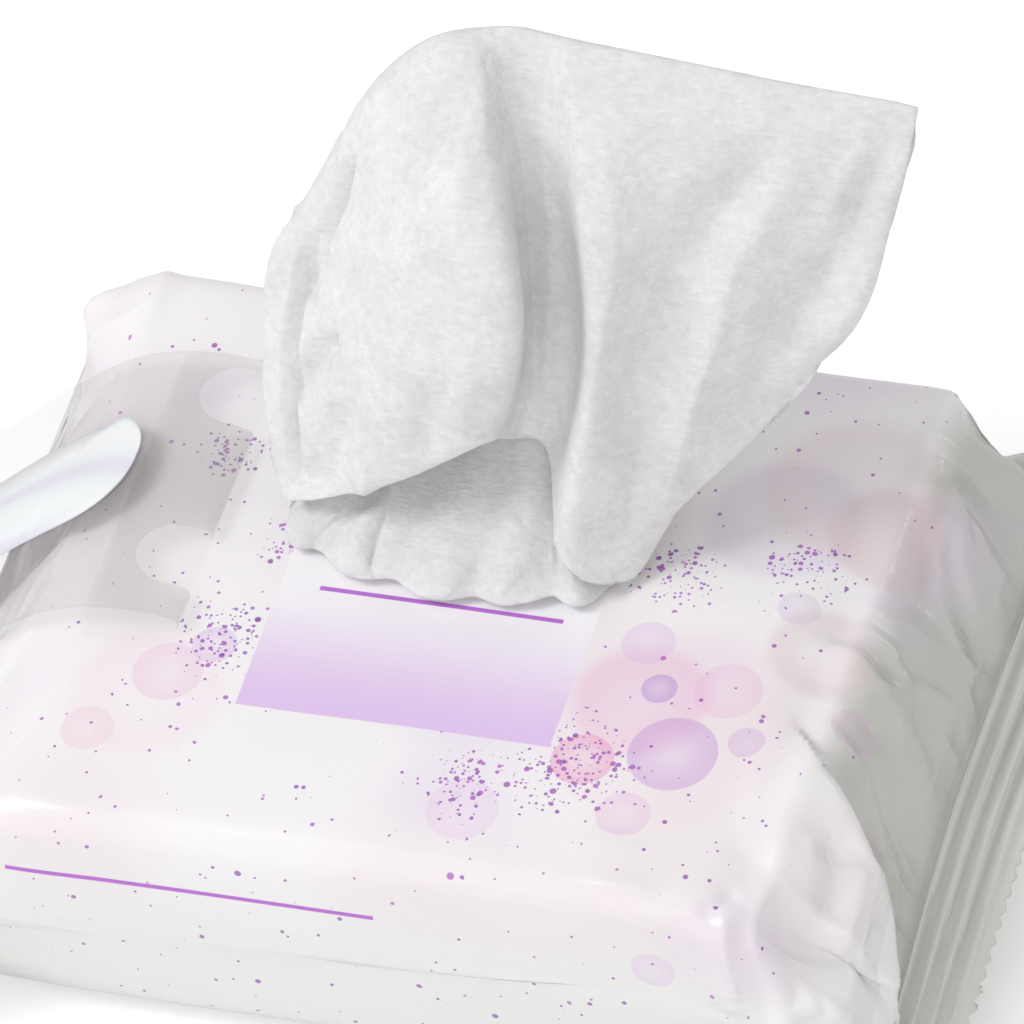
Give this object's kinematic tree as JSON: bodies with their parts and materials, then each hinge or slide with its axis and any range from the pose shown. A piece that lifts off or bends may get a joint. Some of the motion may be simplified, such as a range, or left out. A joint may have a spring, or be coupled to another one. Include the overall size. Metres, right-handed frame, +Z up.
{
  "type": "wet wipes pack",
  "caption": "Film flow-wrap pack of interfolded cloths, resealable label peeled back, one cloth pulled up through the top opening.",
  "frame": {"origin": "middle of the pack's flat base, on the surface that it lies on", "axes": "+X along the pack to the end away from the label, +Z up, +Y to the side that the pulled cloth leans to"},
  "size_m": [0.2845, 0.19, 0.1882],
  "materials": {
    "printed_film": "glossy white film with soft lilac print",
    "label_film": "clear greyish film",
    "wet_cloth": "white fluffy nonwoven"
  },
  "bodies": {
    "root": {"film_wrap": "printed_film", "reseal_label": "label_film", "cut_out_flap": "printed_film", "pulled_cloth": "wet_cloth", "folded_cloth_01": "wet_cloth", "folded_cloth_02": "wet_cloth", "folded_cloth_03": "wet_cloth", "folded_cloth_04": "wet_cloth", "folded_cloth_05": "wet_cloth", "folded_cloth_06": "wet_cloth", "folded_cloth_07": "wet_cloth", "folded_cloth_08": "wet_cloth", "folded_cloth_09": "wet_cloth", "folded_cloth_10": "wet_cloth", "folded_cloth_11": "wet_cloth", "folded_cloth_12": "wet_cloth", "folded_cloth_13": "wet_cloth", "folded_cloth_14": "wet_cloth", "folded_cloth_15": "wet_cloth", "folded_cloth_16": "wet_cloth", "folded_cloth_17": "wet_cloth", "folded_cloth_18": "wet_cloth", "folded_cloth_19": "wet_cloth", "folded_cloth_20": "wet_cloth", "folded_cloth_21": "wet_cloth", "folded_cloth_22": "wet_cloth", "folded_cloth_23": "wet_cloth", "folded_cloth_24": "wet_cloth", "folded_cloth_25": "wet_cloth", "folded_cloth_26": "wet_cloth", "folded_cloth_27": "wet_cloth", "folded_cloth_28": "wet_cloth", "folded_cloth_29": "wet_cloth"}
  },
  "joints": []
}
